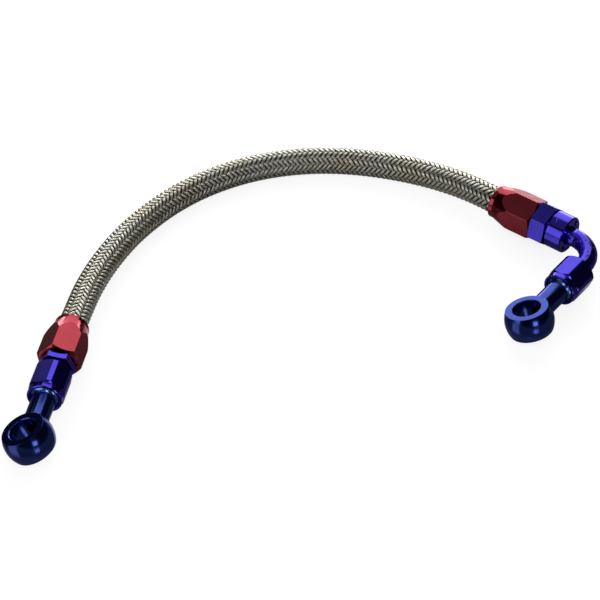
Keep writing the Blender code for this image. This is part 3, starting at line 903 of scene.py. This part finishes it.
def makeNut(side, matrix, body, wireGroove=False):
    start, hole = nut[side + "Start"], nut[side + "Hole"]
    edge, flat, mouth = nut["edge"], nut["acrossFlats"] / 2, start + nut["length"]
    shoulder, hexEnd = start + nut["rearWall"], start + nut["hexLength"]
    outline = [
        (start, hole + edge), (start, flat - edge), (start + nut["chamfer"], nut["cornerRadius"]),
        (hexEnd - edge, nut["cornerRadius"]), (hexEnd, nut["cornerRadius"] - edge),
        (hexEnd + nut["chamfer"] / 2, nut["ringRadius"]),
        (mouth - edge, nut["ringRadius"]), (mouth, nut["ringRadius"] - edge),
        (mouth, nut["bore"] + edge), (mouth - edge, nut["bore"]),
        (shoulder + edge, nut["bore"]), (shoulder, nut["bore"] - edge), (shoulder, hole),
    ]
    if wireGroove:
        middle, half = start + nut["rearWall"] / 2, nipple["wireRadius"] + nipple["clearance"]
        outline += [(middle + half, hole), (middle + half, hole + nipple["wireRadius"]),
                    (middle - half, hole + nipple["wireRadius"]), (middle - half, hole)]
    outline += [(start + edge, hole)]
    name = side + "_nut"
    obj = turnedPiece(name + "_turned", outline)
    millFlats(obj, nut["acrossFlats"])
    noteToolMarks(obj)
    finishPiece(obj, matrix, nut[side + "Roll"], ["blueAnodised"], name, body)


elbow = {
    "cornerStation": 62.7, "bendRadius": 15.0, "bendSteps": 28, "steps": 72,
    "tubeRadius": 4.75, "tubeWall": 1.2, "edge": 0.4,
    "flangeRadius": 7.4, "flangeThickness": 1.6,
    "grooveDepth": 1.25, "grooveWidth": 1.55, "groovesApart": 3.2,
    "seatEnd": 27.0, "flareRadius": 6.6, "seatRim": 6.2,
    "near": 0.01,  # how close a point has to be to the bend's start or end to be at it
    "plain": 1,  # corners this close to the bend aren't broken
}
elbowLeg = rightEnd @ Matrix.Translation((0, 0, elbow["cornerStation"] * mm)) @ (
    Matrix.Rotation(pi / 2, 4, "X"))
makeNut("left", leftEnd, "line", wireGroove=True)
makeNut("right", elbowLeg, "elbow")
print("nuts made")


def makeElbow():
    # spigot and flange turned, the tube spun round the bend, then drawn out and flared
    radius, edge, corner = elbow["tubeRadius"], elbow["edge"], elbow["cornerStation"]
    bore, near, cone = radius - elbow["tubeWall"], elbow["near"] * mm, nipple["seatAngle"]
    spigot, start, flange = nipple["spigotRadius"], nipple["spigotStart"], nipple["flangeStart"]
    bendStart = corner - elbow["bendRadius"]
    outline = [(start, bore), (start, spigot - edge), (start + edge, spigot)]
    middle, half = (start + flange) / 2, elbow["grooveWidth"] / 2
    floor = spigot - elbow["grooveDepth"]
    for station in (middle - elbow["groovesApart"] / 2, middle + elbow["groovesApart"] / 2):
        outline += [(station - half, spigot), (station - half, floor),
                    (station + half, floor), (station + half, spigot)]
    flangeEnd = flange + elbow["flangeThickness"]
    outline += [
        (flange, spigot), (flange, elbow["flangeRadius"]), (flangeEnd, elbow["flangeRadius"]),
        (flangeEnd, radius), (bendStart, radius), (bendStart, bore),
    ]
    brokenEnd = (bendStart - elbow["plain"]) * mm
    obj = turnedPiece("elbow_tube_bent", outline, steps=elbow["steps"],
                      broken=lambda co: near < co.z < brokenEnd and co.x > bore * mm)
    editStart(obj)
    selectWhere(obj, lambda co: co.z > bendStart * mm - near)
    bpy.ops.mesh.delete(type="ONLY_FACE")
    selectWhere(obj, lambda co: co.z > bendStart * mm - near)
    bpy.ops.mesh.spin(steps=elbow["bendSteps"], angle=-pi / 2, axis=(1, 0, 0),
                      center=(0, -elbow["bendRadius"] * mm, bendStart * mm))
    between = (radius + bore) / 2 * mm
    flareLength = (elbow["flareRadius"] - radius) / tan(cone)
    seatDepth = (elbow["seatRim"] - bore) / tan(cone)
    for outside, size, flared, length in ((True, radius, elbow["flareRadius"], flareLength),
                                          (False, bore, elbow["seatRim"], seatDepth)):
        selectWhere(obj, lambda co: co.y < near - elbow["bendRadius"] * mm and (
            Vector((co.x, co.z - corner * mm)).length > between) == outside)
        extrudeSelected(y=-(elbow["seatEnd"] - length - elbow["bendRadius"]) * mm)
        extrudeSelected(y=-length * mm)
        grow = flared / size
        bpy.ops.transform.resize(value=(grow, 1, grow),
                                 center_override=(0, -elbow["seatEnd"] * mm, corner * mm))
    selectWhere(obj, lambda co: co.y < near - elbow["seatEnd"] * mm)
    bpy.ops.mesh.bridge_edge_loops()
    bpy.ops.mesh.select_all(action="SELECT")
    bpy.ops.mesh.normals_make_consistent(inside=False)
    editEnd()
    finishPiece(obj, rightEnd, 0, ["blueAnodised"], "elbow_tube", "elbow")


makeElbow()
print("elbow made")

banjo = {
    "eyeRadius": 12.4, "faceRadius": 10.8, "thickness": 13.4, "boltHole": 7.0, "edge": 0.4,
    "arcSteps": 26, "eyeSteps": 144,
    "stemRadius": 5.9, "stemRelief": 0.9, "portRadius": 2.8,
    "threadRadius": 7.0, "threadChamfer": 0.5,
    "coneRoot": 5.9, "coneUndercut": 1.2, "coneRim": 0.1, "clearance": 0.3,
    # eye centre, nut mouth and cone seat along each end
    "left": (77.2, 50.9, 38.6), "right": (64.6, 38.3, 27.0),
    "leftRoll": 24, "rightRoll": 19,
    "near": 0.01, "drillPast": 1, "portSides": 64, "threadProud": 0.1,
}


def makeBanjo(side, matrix, body):
    # a ball-shaped eye with two milled faces, a stem with thread and cone, and the cross port
    centre, mouth, seatEnd = banjo[side]
    half, hole, edge = banjo["thickness"] / 2, banjo["boltHole"], banjo["edge"]
    cone, past = nipple["seatAngle"], banjo["drillPast"]
    bulge = banjo["eyeRadius"] - banjo["faceRadius"]
    barrel = (half**2 + bulge**2) / (2 * bulge)
    lean = acos(half / barrel)
    outline = arcPoints((0, banjo["eyeRadius"] - barrel), barrel, lean, pi - lean,
                        banjo["arcSteps"])
    outline += [(-half, hole + edge), (edge - half, hole),
                (half - edge, hole), (half, hole + edge)]
    eye = turnedPiece(side + "_banjo_eye", outline, axis="X", steps=banjo["eyeSteps"],
                      broken=lambda co: abs(co.x) > (half - banjo["near"]) * mm)
    tipRadius = banjo["portRadius"] + banjo["coneRim"]
    tip = seatEnd - centre - (nipple["seatRim"] - tipRadius) / tan(cone) + (
        banjo["clearance"] / sin(cone))
    root = tip + (banjo["coneRoot"] - tipRadius) / tan(cone)
    toMouth, chamfer = mouth - centre, banjo["threadChamfer"]
    inWall = -(hole + banjo["faceRadius"]) / 2
    stem = turnedPiece(side + "_banjo_stem", [
        (inWall, 0), (inWall, banjo["stemRadius"]),
        (toMouth + banjo["stemRelief"], banjo["stemRadius"]),
        (toMouth, banjo["threadRadius"] - chamfer), (toMouth - chamfer, banjo["threadRadius"]),
        (root + banjo["coneUndercut"], banjo["threadRadius"]), (root, banjo["coneRoot"]),
        (tip, tipRadius), (tip, 0),
    ])
    cutWith(eye, stem, "UNION")
    deselectAll()
    bpy.ops.mesh.primitive_cylinder_add(
        vertices=banjo["portSides"], radius=banjo["portRadius"] * mm,
        depth=(-hole / 2 - tip + past) * mm, location=(0, 0, (-hole / 2 + tip - past) / 2 * mm))
    cutWith(eye, bpy.context.object, "DIFFERENCE")
    noteToolMarks(eye, banjo["eyeRadius"] * mm)
    for face in eye.data.polygons:
        x, y, z = face.center
        onThread = z < (toMouth + banjo["stemRelief"]) * mm and sqrt(x * x + y * y) > (
            banjo["stemRadius"] + banjo["threadProud"]) * mm
        face.material_index = int(onThread)
    finishPiece(eye, matrix @ Matrix.Translation((0, 0, centre * mm)), banjo[side + "Roll"],
                ["navyAnodised", "threadBlue"], side + "_banjo", body)


makeBanjo("left", leftEnd, "line")
makeBanjo("right", elbowLeg, "elbow")
print("banjo adapters made")


def dressSolids():
    # the small inner pieces keep their solids
    bright = makeSteel("springSteel")
    seal = makeRubber("sealRubber", rubber["sealShade"])
    for node, look in (("left_nut_wire", bright), ("flare_sleeve", bright),
                       ("rear_o_ring", seal), ("front_o_ring", seal)):
        solid = frame["nodes"][node]
        solid.data.materials.clear()
        solid.data.materials.append(look)


dressSolids()
